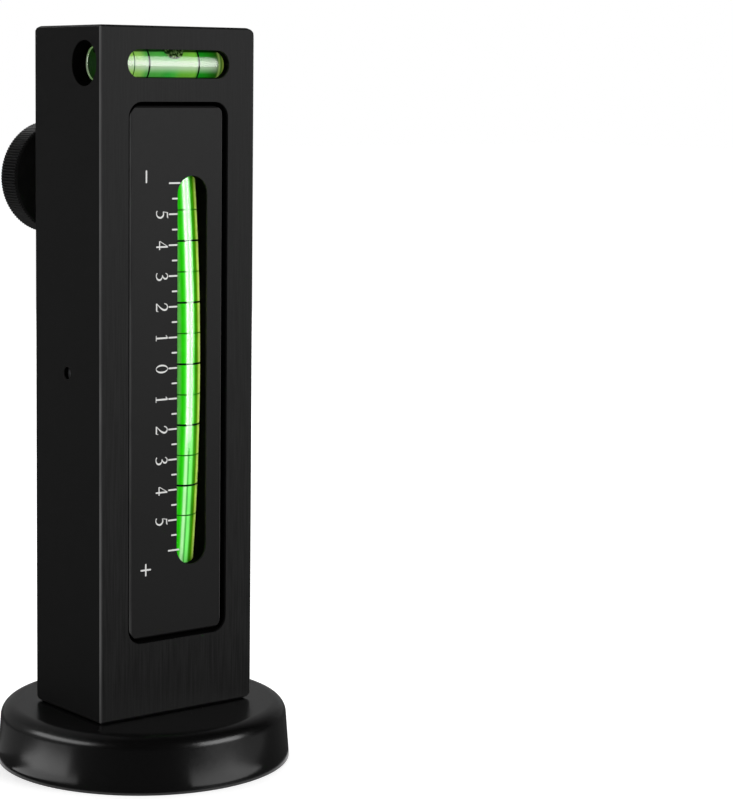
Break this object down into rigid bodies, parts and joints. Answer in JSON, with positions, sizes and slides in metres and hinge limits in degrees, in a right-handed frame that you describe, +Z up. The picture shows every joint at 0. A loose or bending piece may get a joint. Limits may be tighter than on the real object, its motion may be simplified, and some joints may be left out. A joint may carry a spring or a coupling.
{
  "type": "camber caster gauge",
  "caption": "Rectangular block on a round magnet base, with a crosswise level vial, a bent camber vial in front and a knob-adjusted caster vial behind.",
  "frame": {"origin": "centre of the magnet face, on which the gauge stands", "axes": "+Z up along the block, -Y towards the camber scale, +X towards the right side as the camber scale is read"},
  "size_m": [0.0618, 0.0618, 0.1532],
  "materials": {
    "black_anodised_aluminium": "brushed, black anodised",
    "black_scale_plate": "brushed, black anodised",
    "black_knob": "knurled, black anodised",
    "black_base_steel": "satin",
    "steel": "plain",
    "brass": "turned",
    "nylon": "matt",
    "vial_glass": "clear",
    "vial_plug": "matt",
    "green_fluid": "liquid",
    "yellow_fluid": "liquid",
    "bubble": "clear",
    "black_rubber": "matt",
    "ferrite": "dull",
    "potting": "matt"
  },
  "bodies": {
    "body": {"housing": "black_anodised_aluminium", "camber_plate": "black_scale_plate", "camber_plate_screws": "steel", "camber_vial": "vial_glass", "camber_vial_plugs": "vial_plug", "camber_fluid": "green_fluid", "camber_saddles": "black_rubber", "level_vial": "vial_glass", "level_vial_plug": "vial_plug", "level_fluid": "yellow_fluid", "pivot_pin": "steel", "threaded_bush": "brass", "base_cup": "black_base_steel", "ring_magnet": "ferrite", "magnet_potting": "potting", "base_screws": "steel", "adjuster_spring": "steel"},
    "rocker": {"caster_rocker": "black_scale_plate", "caster_vial": "vial_glass", "caster_vial_plugs": "vial_plug", "caster_fluid": "green_fluid", "caster_saddles": "black_rubber"},
    "washer": {"thrust_washer": "nylon"},
    "knob": {"adjuster_knob": "black_knob", "lead_screw": "steel"},
    "level_bubble": {"level_bubble": "bubble"},
    "camber_bubble": {"camber_bubble": "bubble"},
    "caster_bubble": {"caster_bubble": "bubble"}
  },
  "joints": [
    {"name": "screw_travel", "type": "slide", "parent": "body", "child": "washer", "axis": [0, 1, 0], "range_m": [-0.0014, 0.0014]},
    {"name": "knob_turn", "type": "hinge", "parent": "washer", "child": "knob", "pos_m": [-0.006, 0, 0.1216], "axis": [0, 1, 0], "range_deg": [-720, 720]},
    {"name": "caster_tilt", "type": "hinge", "parent": "body", "child": "rocker", "pos_m": [0, 0, 0.0826], "axis": [1, 0, 0], "range_deg": [-2.06, 2.06], "deforming": ["adjuster_spring"]},
    {"name": "level_bubble_slide", "type": "slide", "parent": "body", "child": "level_bubble", "axis": [1, 0, 0], "range_m": [-0.0095, 0.0095], "deforming": ["level_fluid"]},
    {"name": "camber_bubble_swing", "type": "hinge", "parent": "body", "child": "camber_bubble", "pos_m": [0.0038, 0.35325, 0.0836], "axis": [1, 0, 0], "range_deg": [0, 13], "deforming": ["camber_fluid"]},
    {"name": "caster_bubble_swing", "type": "hinge", "parent": "rocker", "child": "caster_bubble", "pos_m": [0.0038, -0.35285, 0.0836], "axis": [1, 0, 0], "range_deg": [-13, 0], "deforming": ["caster_fluid"]}
  ],
  "couplings": [
    {"joint": "screw_travel", "follows": "knob_turn", "m_per_rad": 0.00011141},
    {"joint": "caster_tilt", "follows": "knob_turn", "ratio": -0.0028566}
  ]
}
